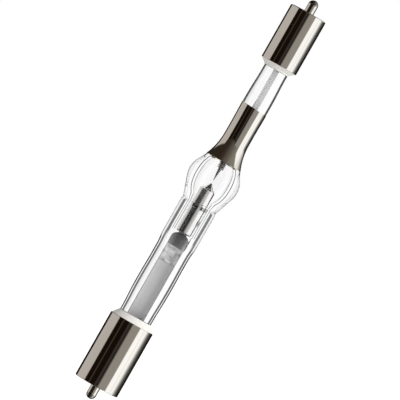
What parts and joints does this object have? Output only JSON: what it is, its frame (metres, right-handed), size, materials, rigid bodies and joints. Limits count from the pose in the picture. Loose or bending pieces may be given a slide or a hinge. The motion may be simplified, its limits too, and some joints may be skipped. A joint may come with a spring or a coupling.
{
  "type": "mercury short-arc lamp",
  "caption": "Fused-silica short-arc mercury lamp with a blown bulb, pointed electrodes, foil seals and two nickel-plated bases with contact pins.",
  "frame": {"origin": "centre of the anode base's end face, where its contact pin starts", "axes": "+Z along the lamp's axis from the anode base to the cathode base; the anode foil shows its full width towards -Y"},
  "size_m": [0.0104, 0.0104, 0.0874],
  "materials": {
    "quartz": "clear fire-polished fused silica",
    "metal_coat": "fired-on bright metal film",
    "tungsten": "ground and sintered tungsten",
    "molybdenum": "etched molybdenum",
    "nickel_plate": "bright nickel plate on turned brass",
    "cement": "cast ceramic putty",
    "solder": "flowed tin solder",
    "mercury": "liquid metal"
  },
  "bodies": {
    "root": {"quartz_burner": "quartz", "reflector_coat": "metal_coat", "anode": "tungsten", "anode_foil": "molybdenum", "anode_lead_rod": "molybdenum", "anode_base": "nickel_plate", "anode_base_cement": "cement", "anode_pin_solder": "solder", "cathode": "tungsten", "cathode_coil": "tungsten", "cathode_foil": "molybdenum", "cathode_lead_rod": "molybdenum", "cathode_base": "nickel_plate", "cathode_base_cement": "cement", "cathode_pin_solder": "solder", "mercury_pools": "mercury"}
  },
  "joints": []
}
